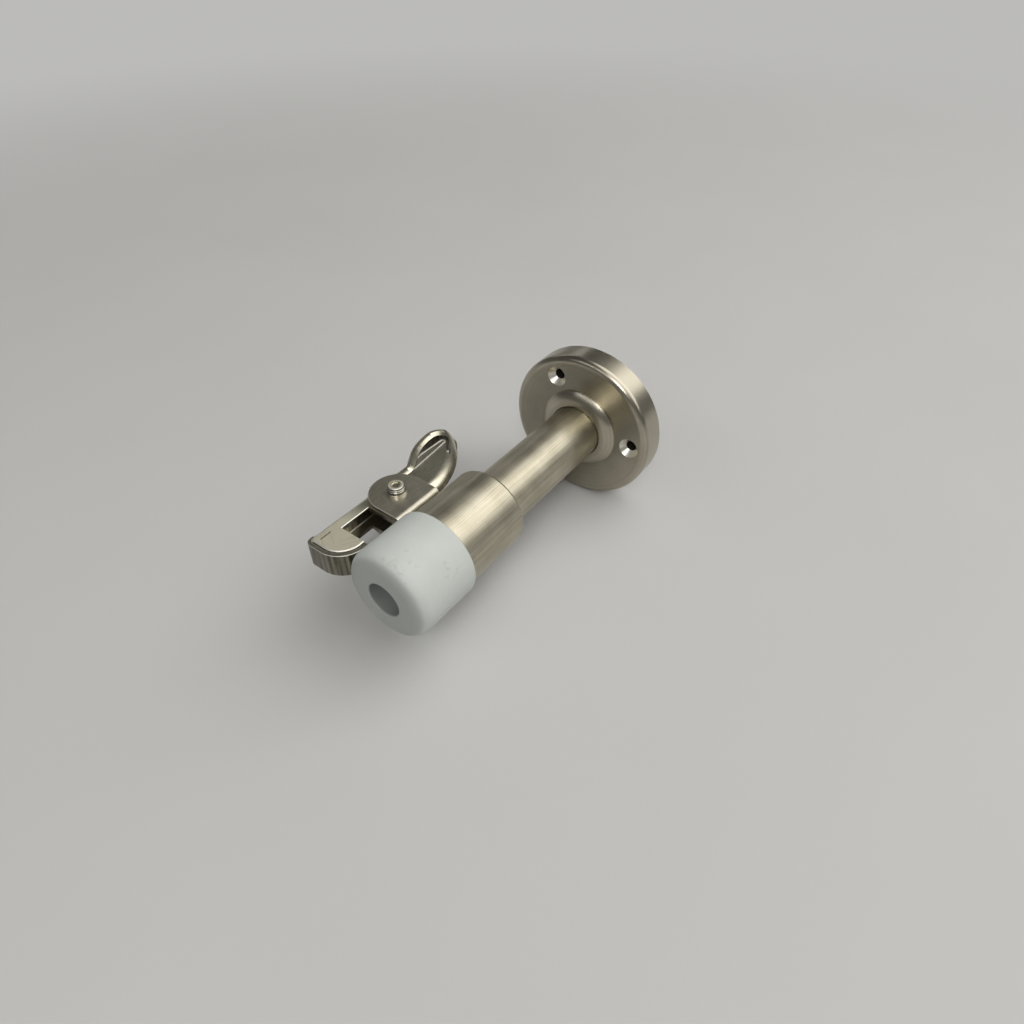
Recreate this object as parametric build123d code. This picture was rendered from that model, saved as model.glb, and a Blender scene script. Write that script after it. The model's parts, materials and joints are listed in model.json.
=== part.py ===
from build123d import *
from math import acos, atan2, cos, degrees, radians, sin, tan
import os

# Wall-mounted door bumper with a sprung hook that holds the open door.
# Millimetres. The wall is the plane y = 0, the stem points along -Y,
# +Z is up and the hook sits on the -X side.

# Wall flange: a dish, open at the back, with a boss behind each screw hole
FLANGE_R = 27.4
FLANGE_H = 9.6
FLANGE_WALL = 2.1
FLANGE_SHOULDER_R = 2.2
FACE_DROP = 0.5
FLANGE_WEB = 2.2
COLLAR_R = 14.75
COLLAR_STEP = 0.45
COLLAR_RISE = 2.65
COLLAR_BULGE = 0.5
COLLAR_JOINT = 0.35

# Three countersunk screw holes
HOLE_COUNT = 3
HOLE_CIRCLE_R = 20.5
HOLE_R = 1.8
SINK_R = 3.7
SINK_DEPTH = 2.2
BOSS_WALL = 1.3
BOSS_END_R = 3.6

# Stem tube, flared over inside the dish
STEM_R = 9.525
STEM_WALL = 1.5
FLARE_R = 11.6
FLARE_T = 1.2
FIT_GAP = 0.05

# Sleeve on the front of the stem
SLEEVE_R = 13.4
SLEEVE_WALL = 1.8
SLEEVE_REAR = 61.25
SLEEVE_LENGTH = 25.25
SLEEVE_END_WALL = 3.0
SLEEVE_EDGE_R = 0.9
SLEEVE_MOUTH_CHAMFER = 0.3

# Rubber bumper, its screw, washer and the plug in the stem
RUBBER_OVER = 1.3
RUBBER_LENGTH = 22.9
RUBBER_FRONT_R = 4.2
RUBBER_REAR_R = 0.7
RUBBER_HOLE_R = 5.6
RUBBER_HOLE_DEPTH = 14.0
RUBBER_HOLE_LIP_R = 0.6
SPIGOT_LENGTH = 7.5
PLUG_LENGTH = 12.0
SCREW_R = 2.5
SCREW_GRIP = 9.0
SCREW_HEAD_R = 4.5
SCREW_HEAD_H = 2.8
SCREW_HEAD_DOME = 0.9
SCREW_CROSS_L = 5.0
SCREW_CROSS_W = 1.1
SCREW_CROSS_DEPTH = 1.5
WASHER_R = 5.3
WASHER_T = 1.0

# Folded bracket on the side of the sleeve
SHEET = 1.4
BRACKET_HALF = 6.0
BRACKET_WIDTH = 17.9
BRACKET_BEND_R = 2.2
BRACKET_INNER_BEND_R = 0.6
BRACKET_RUBBER_GAP = 0.2
PIN_ALONG = 17.15
PIN_OUT = 9.8

# Pivot pin with a ringed upper end and a low head below
PIN_R = 2.2
RUNNING_GAP = 0.06
PIN_HEAD_R = 3.5
PIN_HEAD_H = 1.3
PIN_WASHER_R = 3.1
PIN_WASHER_T = 0.95
PIN_RING_R = 2.75
PIN_RING_T = 0.5
PIN_GROOVE_R = 2.35
PIN_GROOVE_T = 0.22
PIN_TOP_R = 2.4
PIN_TOP_T = 0.4
PIN_DISH_R = 1.8
PIN_DISH_DEPTH = 0.4

# Hook latch, folded from one sheet
HOOK_SIDE_GAP = 0.1
HOOK_WEB_GAP = 0.6
HOOK_BEND_R = 1.8
HOOK_LEFT = 7.9
NOTCH_LEFT = 3.3
NOTCH_REAR_OUT = 0.25
NOTCH_LENGTH = 11.3
NOSE_LENGTH = 8.8
NOSE_R = 7.5
NOSE_GAP = 0.65
NOSE_SEAM = 0.25
NOSE_WALL_DROP = 0.35
NOSE_EDGE_R = 0.5
NOTCH_EDGE_R = 0.3
NOSE_CORNER_R = 1.5
RELIEF_X = 4.5
RELIEF_LENGTH = 4.0
RELIEF_W = 0.3
RELIEF_IN = 1.8
FLOOR_REAR = 6.4

# Leaf-shaped thumb tail of the hook
TAIL_X = 8.7
TAIL_Y = 30.2
TAIL_R = 5.85
TAIL_LEFT_TURN = 32.0
TAIL_LEFT_R = 24.5
TAIL_ROOT_R = 3.0
TAIL_RIGHT_TURN = 40.0
TAIL_RIGHT_X = 7.2
TAIL_RIGHT_R = 34.0
TAIL_LIP = 2.7
TAIL_ROLL_R = 0.7
RIM_W = 1.6
RIM_DROP = 0.9
RIM_OVER = 0.1
FLANK_W = 4.0
FLANK_DROP = 2.9
FLANK_EDGE = 0.5
SKIRT_LEFT = 10.5
SKIRT_RIGHT = 3.0
SHORT_RUN = 0.05
SLOT_FRONT_X = 3.55
SLOT_REAR_X = 5.6
SLOT_FRONT = 7.0
SLIT_W = 0.9
SLIT_FRONT = 26.2

# Hairpin leaf spring, hooked round the front of the pin
LEAF_T = 0.7
LEAF_GAP = 0.1
LEAF_FOOT_GAP = 0.2
LEAF_ROOT_X = 5.8
LEAF_ROOT_Y = 10.4
LEAF_REAR_X = 7.65
LEAF_REAR_Y = 32.0
LEAF_BACK_X = 9.2
LEAF_TOE_X = 9.55
LEAF_TOE_Y = 21.0
LEAF_TIP_X = 8.85
LEAF_TIP_Y = 17.4
LEAF_KNEE_R = 6.0

# Places along the stem, measured from the wall
RUBBER_R = SLEEVE_R + RUBBER_OVER
FACE_Y = FLANGE_H - FACE_DROP
CEILING_Y = FACE_Y - FLANGE_WEB
COLLAR_TOP = FACE_Y + COLLAR_RISE
SLEEVE_FRONT = SLEEVE_REAR + SLEEVE_LENGTH
RUBBER_FRONT = SLEEVE_FRONT + RUBBER_LENGTH
STEM_END = SLEEVE_FRONT - SPIGOT_LENGTH
SEAT_Y = RUBBER_FRONT - RUBBER_HOLE_DEPTH
HEAD_SEAT = SEAT_Y + WASHER_T
SCREW_TIP = STEM_END - SCREW_GRIP

# Places on the bracket and the hook
WEB_OUT = -SLEEVE_R
WEB_IN = WEB_OUT - SHEET
PIN_X = WEB_OUT - PIN_OUT
PIN_Y = SLEEVE_REAR + PIN_ALONG
BRACKET_R = BRACKET_WIDTH / 2
PLATE_IN = BRACKET_HALF - SHEET
HOOK_HALF = PLATE_IN - HOOK_SIDE_GAP
PLATE_UNDER = HOOK_HALF - SHEET
HOOK_X = PIN_X - HOOK_LEFT
HOOK_RIGHT = WEB_IN - HOOK_WEB_GAP
NOTCH_REAR = -(PIN_Y + BRACKET_R + NOTCH_REAR_OUT)
NOTCH_FRONT = NOTCH_REAR - NOTCH_LENGTH
NOSE_Y = NOTCH_FRONT - NOSE_LENGTH
NOSE_X = -(RUBBER_R + NOSE_GAP + SHEET + NOSE_SEAM)


def turned(*lines):
    """One solid of revolution about the stem's axis from a closed outline of radius and y."""
    return revolve(make_face(Curve() + list(lines)), Axis.Y)


def ring(r_out, r_in, y_from, y_to):
    """A plain turned ring between two distances from the wall."""
    pts = [(r_in, -y_from), (r_out, -y_from), (r_out, -y_to), (r_in, -y_to)]
    return turned(Polyline(*pts, close=True))


def slab(plan, low, high):
    """A plan outline raised from one height to another."""
    return extrude(Pos(0, 0, low) * plan, high - low, dir=(0, 0, 1))


def area(x_from, x_to, y_from, y_to):
    """A rectangle in plan, given by its edges."""
    return Pos((x_from + x_to) / 2, (y_from + y_to) / 2) * Rectangle(x_to - x_from, y_to - y_from)


def polygon(*pts):
    """A filled polygon in plan."""
    return make_face(Polyline(*pts, close=True))


def strip(path, width):
    """The plan of a strip on edge, half its width on each side of a path."""
    return Sketch() + trace(path, line_width=width)


# Wall flange: dish, collar and countersinks
shoulder_in = FLANGE_R - FLANGE_SHOULDER_R
shoulder_mid = FLANGE_SHOULDER_R * (1 - cos(radians(45)))
bore_r = STEM_R + FIT_GAP
collar_edge = -(FACE_Y + COLLAR_STEP)
collar_mid = ((COLLAR_R + bore_r) / 2 + COLLAR_BULGE / 2, -(FACE_Y + COLLAR_STEP + COLLAR_TOP) / 2 - COLLAR_BULGE)
flange = turned(
    Line((FLANGE_R, 0), (FLANGE_R, -(FLANGE_H - FLANGE_SHOULDER_R))),
    ThreePointArc(
        (FLANGE_R, -(FLANGE_H - FLANGE_SHOULDER_R)),
        (FLANGE_R - shoulder_mid, -(FLANGE_H - shoulder_mid)),
        (shoulder_in, -FLANGE_H),
    ),
    Line((shoulder_in, -FLANGE_H), (COLLAR_R, -FACE_Y)),
    Line((COLLAR_R, -FACE_Y), (COLLAR_R, collar_edge)),
    ThreePointArc((COLLAR_R, collar_edge), collar_mid, (bore_r + COLLAR_JOINT, -COLLAR_TOP)),
    Polyline(
        (bore_r + COLLAR_JOINT, -COLLAR_TOP),
        (bore_r, -(COLLAR_TOP - COLLAR_JOINT)),
        (bore_r, -CEILING_Y),
        (FLANGE_R - FLANGE_WALL, -CEILING_Y),
        (FLANGE_R - FLANGE_WALL, 0),
        (FLANGE_R, 0),
    ),
)
face_at_hole = FACE_Y + FACE_DROP * (HOLE_CIRCLE_R - COLLAR_R) / (shoulder_in - COLLAR_R)
sink_floor = face_at_hole - SINK_DEPTH
boss = turned(Polyline((0, -CEILING_Y), (SINK_R + BOSS_WALL, -CEILING_Y), (BOSS_END_R, 0), (0, 0), close=True))
sink = turned(
    Polyline(
        (0, -(FLANGE_H + 1)),
        (SINK_R + (SINK_R - HOLE_R) * (FLANGE_H + 1 - face_at_hole) / SINK_DEPTH, -(FLANGE_H + 1)),
        (HOLE_R, -sink_floor),
        (HOLE_R, 1),
        (0, 1),
        close=True,
    )
)
for i in range(HOLE_COUNT):
    place = Rot(0, i * 360 / HOLE_COUNT, 0) * Pos(HOLE_CIRCLE_R, 0, 0)
    flange = flange + place * boss
for i in range(HOLE_COUNT):
    place = Rot(0, i * 360 / HOLE_COUNT, 0) * Pos(HOLE_CIRCLE_R, 0, 0)
    flange = flange - place * sink

# Stem tube with its flared rear end seated under the collar
stem_in = STEM_R - STEM_WALL
stem = turned(
    Polyline(
        (stem_in, -(CEILING_Y - FLARE_T)),
        (FLARE_R, -(CEILING_Y - FLARE_T)),
        (FLARE_R, -CEILING_Y),
        (STEM_R, -CEILING_Y),
        (STEM_R, -STEM_END),
        (stem_in, -STEM_END),
        close=True,
    )
)

# Sleeve: a turned cup whose end wall sits on the stem
sleeve_in = SLEEVE_R - SLEEVE_WALL
sleeve = turned(
    Polyline(
        (bore_r, -SLEEVE_REAR),
        (SLEEVE_R, -SLEEVE_REAR),
        (SLEEVE_R, -SLEEVE_FRONT),
        (sleeve_in, -SLEEVE_FRONT),
        (sleeve_in, -(SLEEVE_REAR + SLEEVE_END_WALL)),
        (bore_r, -(SLEEVE_REAR + SLEEVE_END_WALL)),
        close=True,
    )
)
sleeve_ends = sleeve.edges().filter_by(GeomType.CIRCLE).filter_by(lambda e: abs(e.radius - SLEEVE_R) < 0.01).sort_by(Axis.Y)
sleeve = chamfer(sleeve_ends[0], SLEEVE_MOUTH_CHAMFER)
sleeve_ends = sleeve.edges().filter_by(GeomType.CIRCLE).filter_by(lambda e: abs(e.radius - SLEEVE_R) < 0.01).sort_by(Axis.Y)
sleeve = fillet(sleeve_ends[-1], SLEEVE_EDGE_R)

# Threaded plug in the front end of the stem
plug = ring(stem_in - FIT_GAP, SCREW_R + FIT_GAP, STEM_END - PLUG_LENGTH, STEM_END)

# Rubber bumper: head against the sleeve's mouth, spigot inside it
spigot_r = sleeve_in - FIT_GAP
rubber_bore = SCREW_R + FIT_GAP
rubber = turned(
    Polyline(
        (rubber_bore, -STEM_END),
        (spigot_r, -STEM_END),
        (spigot_r, -SLEEVE_FRONT),
        (RUBBER_R, -SLEEVE_FRONT),
        (RUBBER_R, -RUBBER_FRONT),
        (RUBBER_HOLE_R, -RUBBER_FRONT),
        (RUBBER_HOLE_R, -SEAT_Y),
        (rubber_bore, -SEAT_Y),
        close=True,
    )
)
rubber_rings = rubber.edges().filter_by(GeomType.CIRCLE)
rubber_rear = rubber_rings.filter_by(lambda e: abs(e.radius - RUBBER_R) < 0.01).sort_by(Axis.Y)[-1]
rubber = fillet(rubber_rear, RUBBER_REAR_R)
rubber_rings = rubber.edges().filter_by(GeomType.CIRCLE)
rubber_front = rubber_rings.filter_by(lambda e: abs(e.radius - RUBBER_R) < 0.01).sort_by(Axis.Y)[0]
rubber = fillet(rubber_front, RUBBER_FRONT_R)
rubber_rings = rubber.edges().filter_by(GeomType.CIRCLE)
rubber_lip = rubber_rings.filter_by(lambda e: abs(e.radius - RUBBER_HOLE_R) < 0.01).sort_by(Axis.Y)[0]
rubber = fillet(rubber_lip, RUBBER_HOLE_LIP_R)

# Washer and cross-recessed pan-head screw at the bottom of the rubber's hole
washer = ring(WASHER_R, SCREW_R + FIT_GAP, SEAT_Y, HEAD_SEAT)
head_top = HEAD_SEAT + SCREW_HEAD_H
head_edge = head_top - SCREW_HEAD_DOME
screw = turned(
    Polyline((0, -head_top), (0, -SCREW_TIP), (SCREW_R, -SCREW_TIP), (SCREW_R, -HEAD_SEAT)),
    Polyline((SCREW_R, -HEAD_SEAT), (SCREW_HEAD_R, -HEAD_SEAT), (SCREW_HEAD_R, -head_edge)),
    ThreePointArc((SCREW_HEAD_R, -head_edge), (SCREW_HEAD_R * 0.62, -(head_top - SCREW_HEAD_DOME * 0.34)), (0, -head_top)),
)
cross = Box(SCREW_CROSS_L, 2 * SCREW_CROSS_DEPTH, SCREW_CROSS_W) + Box(SCREW_CROSS_W, 2 * SCREW_CROSS_DEPTH, SCREW_CROSS_L)
screw = screw - Pos(0, -head_top, 0) * cross

# Bracket: a U folded round the hook, its web on the sleeve, its ears round the pin
pin_at = Pos(PIN_X, -PIN_Y)
ear = pin_at * Circle(BRACKET_R) + area(PIN_X, WEB_OUT, -PIN_Y - BRACKET_R, -PIN_Y + BRACKET_R)
bracket = slab(ear, -BRACKET_HALF, BRACKET_HALF)
outer_bends = bracket.edges().filter_by(Axis.Y).filter_by(lambda e: abs(e.center().X - WEB_OUT) < 0.01)
bracket = fillet(outer_bends, BRACKET_BEND_R)
mouth = slab(area(PIN_X - 2 * BRACKET_R, WEB_IN, -PIN_Y - BRACKET_R - 1, -PIN_Y + BRACKET_R + 1), -PLATE_IN, PLATE_IN)
inner_bends = mouth.edges().filter_by(Axis.Y).filter_by(lambda e: abs(e.center().X - WEB_IN) < 0.01)
mouth = fillet(inner_bends, BRACKET_INNER_BEND_R)
rubber_room = ring(RUBBER_R + BRACKET_RUBBER_GAP, SLEEVE_R / 2, SLEEVE_FRONT - BRACKET_RUBBER_GAP, RUBBER_FRONT)
bracket = bracket - mouth - rubber_room - slab(pin_at * Circle(PIN_R + FIT_GAP), -BRACKET_HALF - 1, BRACKET_HALF + 1)

# Pivot pin: head below, plain washer and ringed end above
ring_z = BRACKET_HALF + PIN_WASHER_T
top_z = ring_z + PIN_GROOVE_T + 2 * (PIN_RING_T + PIN_GROOVE_T)
pin = slab(pin_at * Circle(PIN_R), -BRACKET_HALF, ring_z)
pin_head = slab(pin_at * Circle(PIN_HEAD_R), -BRACKET_HALF - PIN_HEAD_H, -BRACKET_HALF)
pin_head = fillet(pin_head.edges().sort_by(Axis.Z)[0], PIN_HEAD_H * 0.6)
pin = pin + pin_head
pin = pin + slab(pin_at * Circle(PIN_GROOVE_R), ring_z, top_z)
for i in range(2):
    low = ring_z + PIN_GROOVE_T + i * (PIN_RING_T + PIN_GROOVE_T)
    band = slab(pin_at * Circle(PIN_RING_R), low, low + PIN_RING_T)
    pin = pin + chamfer(band.edges(), PIN_RING_T * 0.3)
crown = slab(pin_at * Circle(PIN_TOP_R), top_z, top_z + PIN_TOP_T)
crown = chamfer(crown.edges().sort_by(Axis.Z)[-1], PIN_TOP_T * 0.4)
dish = Pos(PIN_X, -PIN_Y, top_z + PIN_TOP_T) * Cone(PIN_DISH_R * 0.6, PIN_DISH_R, 2 * PIN_DISH_DEPTH)
pin = pin + crown - dish
pin_washer = slab(pin_at * (Circle(PIN_WASHER_R) - Circle(PIN_R + FIT_GAP)), BRACKET_HALF, ring_z)

# Hook: one plan outline from the nose to the thumb tail
tail_x, tail_y = PIN_X - TAIL_X, -PIN_Y + TAIL_Y
tail_left, tail_rear = tail_x - TAIL_R, tail_y + TAIL_R
tail_right = PIN_X + TAIL_RIGHT_X
tail_front = -PIN_Y + FLOOR_REAR
half_turn = tan(radians(TAIL_LEFT_TURN / 2))
knee_y = tail_y - TAIL_LEFT_R * half_turn - SHORT_RUN
root_y = knee_y - (HOOK_X - tail_left) / tan(radians(TAIL_LEFT_TURN))
run_c, run_s = cos(radians(TAIL_RIGHT_TURN)), sin(radians(TAIL_RIGHT_TURN))


def tail_edge(inset):
    """The hook's outer edge from the nose up the left side and round the tail, moved inwards."""
    r = TAIL_R - inset
    return FilletPolyline(
        (HOOK_X + inset, NOSE_Y),
        (HOOK_X + inset, root_y + inset * half_turn),
        (tail_x - r, knee_y + inset * half_turn),
        (tail_x - r, tail_y + r),
        (tail_x + r * (1 - run_s) / run_c + SHORT_RUN, tail_y + r),
        (tail_right - inset, tail_y + (r - (tail_right - inset - tail_x) * run_c) / run_s),
        (tail_right - inset, tail_front),
        radius=[TAIL_ROOT_R + inset, TAIL_LEFT_R - inset, r, r - SHORT_RUN, TAIL_RIGHT_R - inset],
    )


def tail_area(inset):
    """The area inside that edge, carried straight forward to the nose."""
    close = [(tail_right - inset, tail_front), (tail_right - inset, NOSE_Y), (HOOK_X + inset, NOSE_Y)]
    return make_face(Curve() + [tail_edge(inset), Polyline(*close)])


left_side = tail_edge(0)
nose_cx, nose_cy = NOSE_X - NOSE_R, NOSE_Y + NOSE_R
right_side = Curve() + [
    Polyline(
        (tail_right, tail_front),
        (HOOK_RIGHT, -PIN_Y),
        (HOOK_RIGHT, NOTCH_REAR),
        (PIN_X - NOTCH_LEFT, NOTCH_REAR),
        (PIN_X - NOTCH_LEFT, NOTCH_FRONT),
        (NOSE_X, NOTCH_FRONT),
        (NOSE_X, nose_cy),
    ),
    ThreePointArc(
        (NOSE_X, nose_cy),
        (nose_cx + NOSE_R * cos(radians(45)), nose_cy - NOSE_R * sin(radians(45))),
        (nose_cx, NOSE_Y),
    ),
    Line((nose_cx, NOSE_Y), (HOOK_X, NOSE_Y)),
]
plan = make_face(Curve() + [left_side, right_side])
front_area = area(HOOK_X - TAIL_R, WEB_OUT, NOSE_Y, tail_front)
rear_area = area(tail_left - SHEET, WEB_OUT, tail_front, tail_rear + SHEET)

# Front of the hook: a channel open towards the bumper
front = slab(plan & front_area, -HOOK_HALF, HOOK_HALF)
front_bends = front.edges().filter_by(Axis.Y).filter_by(lambda e: abs(e.center().X - HOOK_X) < 0.01)
front = fillet(front_bends, HOOK_BEND_R)
top_rim = front.edges().filter_by(lambda e: abs(e.center().Z - HOOK_HALF) < 0.01)
nose_rim = top_rim.filter_by(lambda e: e.center().Y < NOTCH_FRONT - 0.5 and e.center().X < NOSE_X - 0.01)
front = fillet(nose_rim, NOSE_EDGE_R)
notch_rim = front.edges().filter_by(
    lambda e: abs(e.center().Z - HOOK_HALF) < 0.01 and abs(e.center().X - PIN_X + NOTCH_LEFT) < 0.01
)
front = fillet(notch_rim, NOTCH_EDGE_R)
channel = slab(area(HOOK_X + SHEET, WEB_OUT, NOSE_Y - SHEET, tail_front), -PLATE_UNDER, PLATE_UNDER)
channel_bends = channel.edges().filter_by(Axis.Y).filter_by(lambda e: abs(e.center().X - HOOK_X - SHEET) < 0.01)
channel = fillet(channel_bends, HOOK_BEND_R - SHEET)

# Thumb tail: a leaf-shaped cap, rolled over all round and open below
tail = slab(plan & rear_area, -HOOK_HALF, HOOK_HALF)
tail_bends = tail.edges().filter_by(
    lambda e: abs(e.center().Z - HOOK_HALF) < 0.01 and left_side.distance_to(Vertex(*((e @ 0.5).X, (e @ 0.5).Y, 0))) < 0.01
)
tail = fillet(tail_bends, TAIL_ROLL_R)
hollow = slab(tail_area(SHEET) & rear_area, -HOOK_HALF - 1, PLATE_UNDER)

# Right flank of the tail: rolled down in a ring about the centre of its edge, its skirt cut short
flank_x = tail_right - TAIL_RIGHT_R
flank_y = tail_y + (TAIL_R - (tail_right - tail_x) * run_c) / run_s - TAIL_RIGHT_R * tan(radians(TAIL_RIGHT_TURN / 2))
flank_r = (FLANK_W**2 + FLANK_DROP**2) / (2 * FLANK_DROP)
flank_turn = atan2(FLANK_W, flank_r - FLANK_DROP)
flank_in, flank_low = TAIL_RIGHT_R - FLANK_W, HOOK_HALF - FLANK_DROP
flank_line = Curve() + [
    ThreePointArc(
        (flank_in, HOOK_HALF),
        (flank_in + flank_r * sin(flank_turn / 2), HOOK_HALF - flank_r * (1 - cos(flank_turn / 2))),
        (TAIL_RIGHT_R, flank_low),
    ),
    Polyline(
        (TAIL_RIGHT_R, flank_low),
        (TAIL_RIGHT_R + SHEET, flank_low),
        (TAIL_RIGHT_R + SHEET, HOOK_HALF + SHEET),
        (flank_in, HOOK_HALF + SHEET),
        (flank_in, HOOK_HALF),
    ),
]
flank = Pos(flank_x, flank_y, 0) * revolve(Plane.XZ * make_face(flank_line), Axis.Z)
skirt_z = flank_low - FLANK_EDGE
skirt_line = Polyline(
    (PIN_X - SKIRT_LEFT, -HOOK_HALF - 1),
    (PIN_X - SKIRT_LEFT, -HOOK_HALF),
    (PIN_X - SKIRT_RIGHT, skirt_z),
    (WEB_OUT, skirt_z),
    (WEB_OUT, -HOOK_HALF - 1),
    close=True,
)
skirt = Pos(0, tail_front, 0) * extrude(Plane.XZ * make_face(skirt_line), tail_rear + SHEET - tail_front, dir=(0, 1, 0))
tail = tail - hollow - flank - skirt

# Slot beside the tongue and the slit round its end
lip_plan = tail_area(TAIL_LIP)
slit_plan = lip_plan - tail_area(TAIL_LIP + SLIT_W)
slot_y, slot_end = -PIN_Y + SLOT_FRONT, tail_rear
slot_side = polygon(
    (tail_left, slot_y),
    (PIN_X - SLOT_FRONT_X, slot_y),
    (PIN_X - SLOT_REAR_X, slot_end),
    (tail_left, slot_end),
)
slit_side = area(PIN_X - SLOT_REAR_X, tail_right, -PIN_Y + SLIT_FRONT, slot_end)
cut_out = slab((lip_plan & slot_side) + (slit_plan & slit_side), 0, HOOK_HALF + 1)

# Rim of the slot, sloping down inwards
rim_over = RIM_W * RIM_OVER / RIM_DROP
rim_ends = [
    Pos(0, 0, HOOK_HALF - RIM_DROP - RIM_OVER) * tail_area(TAIL_LIP + rim_over),
    Pos(0, 0, HOOK_HALF + RIM_OVER) * tail_area(TAIL_LIP - RIM_W - rim_over),
]
rim = loft(rim_ends, ruled=True) - slab(lip_plan, 0, HOOK_HALF + 1)
rim = rim & slab(slot_side + slit_side, 0, HOOK_HALF + 1)

# Wall of the nose, carried round from the left wall with a fine seam
wall_half = HOOK_HALF - NOSE_WALL_DROP
wall_off = NOSE_SEAM + SHEET / 2
wall_path = FilletPolyline(
    (HOOK_X + SHEET / 2, NOSE_Y + RELIEF_IN),
    (HOOK_X + SHEET / 2, NOSE_Y - wall_off),
    (NOSE_X + wall_off, NOSE_Y - wall_off),
    (NOSE_X + wall_off, NOTCH_FRONT),
    radius=[NOSE_CORNER_R, NOSE_R + wall_off],
)
nose_wall = slab(strip(wall_path, SHEET), -wall_half, wall_half)
relief_x = PIN_X - RELIEF_X
relief = slab(
    area(relief_x - RELIEF_W, relief_x, NOSE_Y + RELIEF_IN, NOSE_Y + RELIEF_IN + RELIEF_LENGTH), 0, HOOK_HALF + 1
)
pivot = slab(pin_at * Circle(PIN_R + RUNNING_GAP), -HOOK_HALF - 1, HOOK_HALF + 1)
hook = (front - channel) + tail - cut_out - rim - relief - pivot + nose_wall

# Return spring: foot against the web, round the pin, back in the tail and against its wall
leaf_r = PIN_R + LEAF_GAP + LEAF_T / 2
root_l = (LEAF_ROOT_X**2 + LEAF_ROOT_Y**2) ** 0.5
touch = degrees(atan2(LEAF_ROOT_Y, -LEAF_ROOT_X) + acos(leaf_r / root_l))
hug = radians((touch + 270) / 2)
hug_l = leaf_r / cos(radians((270 - touch) / 2))
leaf_bend = (LEAF_BACK_X - LEAF_REAR_X) / 2 - 0.02
leaf_path = FilletPolyline(
    (WEB_IN - LEAF_FOOT_GAP, -PIN_Y - leaf_r),
    (PIN_X + hug_l * cos(hug), -PIN_Y + hug_l * sin(hug)),
    (PIN_X - LEAF_ROOT_X, -PIN_Y + LEAF_ROOT_Y),
    (PIN_X - LEAF_REAR_X, -PIN_Y + LEAF_REAR_Y),
    (PIN_X - LEAF_BACK_X, -PIN_Y + LEAF_REAR_Y),
    (PIN_X - LEAF_TOE_X, -PIN_Y + LEAF_TOE_Y),
    (PIN_X - LEAF_TIP_X, -PIN_Y + LEAF_TIP_Y),
    radius=[leaf_r, LEAF_KNEE_R, leaf_bend, leaf_bend, LEAF_KNEE_R],
)
leaf_half = PLATE_UNDER - LEAF_GAP
leaf = slab(strip(leaf_path, LEAF_T), -leaf_half, leaf_half)

pieces = {
    "wall_flange": flange,
    "stem_tube": stem,
    "sleeve": sleeve,
    "stem_plug": plug,
    "rubber_bumper": rubber,
    "bumper_washer": washer,
    "bumper_screw": screw,
    "hook_bracket": bracket,
    "pivot_pin": pin,
    "pin_washer": pin_washer,
    "hook_latch": hook,
    "return_spring": leaf,
}

os.makedirs("parts", exist_ok=True)
for name, piece in pieces.items():
    export_step(piece, "parts/" + name + ".step")
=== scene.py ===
# %% [markdown]
# # A wall door bumper with a spring hook
#
# The object is a short steel stem that screws to a wall. A grey rubber buffer
# on its end meets the door, and a sprung hook beside it catches a keeper and
# holds the door open. The CAD model already has the shapes, so this lesson
# loads it as a fixed frame, gives every piece a finish of its own, rounds the
# edges that tumbling would round, and lights it like a studio picture.

# %% Load the frame
import json
import math
import bmesh
import bpy
from mathutils import Matrix, Vector


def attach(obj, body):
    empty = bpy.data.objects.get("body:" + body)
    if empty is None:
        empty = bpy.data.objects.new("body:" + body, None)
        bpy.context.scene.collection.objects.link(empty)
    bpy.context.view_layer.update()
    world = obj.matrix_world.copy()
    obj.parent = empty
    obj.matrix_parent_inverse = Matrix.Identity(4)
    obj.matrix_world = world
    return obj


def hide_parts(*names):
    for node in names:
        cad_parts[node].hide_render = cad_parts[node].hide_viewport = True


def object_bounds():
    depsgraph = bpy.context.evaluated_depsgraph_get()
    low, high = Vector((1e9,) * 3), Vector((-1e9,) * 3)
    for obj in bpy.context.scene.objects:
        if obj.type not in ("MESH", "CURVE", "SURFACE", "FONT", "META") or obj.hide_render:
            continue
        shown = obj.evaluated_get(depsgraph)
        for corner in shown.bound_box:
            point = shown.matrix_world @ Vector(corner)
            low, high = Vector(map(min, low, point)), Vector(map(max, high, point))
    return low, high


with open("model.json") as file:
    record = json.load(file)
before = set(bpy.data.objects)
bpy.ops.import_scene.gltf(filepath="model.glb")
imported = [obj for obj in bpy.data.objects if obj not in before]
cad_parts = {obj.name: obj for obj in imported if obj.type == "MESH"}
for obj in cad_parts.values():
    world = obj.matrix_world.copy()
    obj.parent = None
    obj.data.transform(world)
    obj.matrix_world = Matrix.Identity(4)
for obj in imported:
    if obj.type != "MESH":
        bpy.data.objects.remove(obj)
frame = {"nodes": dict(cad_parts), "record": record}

scene = bpy.context.scene
nodes = frame["nodes"]
MM = 0.001
cad_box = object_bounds()
print("CAD box in mm:", [[round(v / MM, 2) for v in corner] for corner in cad_box])

# %% [markdown]
# ## The camera
# The picture was taken from above and in front, over the buffer's shoulder.
# The direction could be found by eye, by turning a view until the circles
# match. Here the place and the three axes of the camera are given directly,
# so the circles of the flange and the sleeve lie where the picture has them.

# %% Camera
CAMERA_PLACE = Vector((0.10285, -0.18892, 0.14904))
CAMERA_RIGHT = Vector((0.8046, 0.5939, 0.0))
CAMERA_UP = Vector((-0.4034, 0.5465, 0.7340))
CAMERA_BACK = Vector((0.4359, -0.5905, 0.6792))
FOCAL_PIXELS, FRAME_PIXELS, SENSOR_MM = 700.0, 1024.0, 36.0
CLIP_START = 0.005

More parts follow.
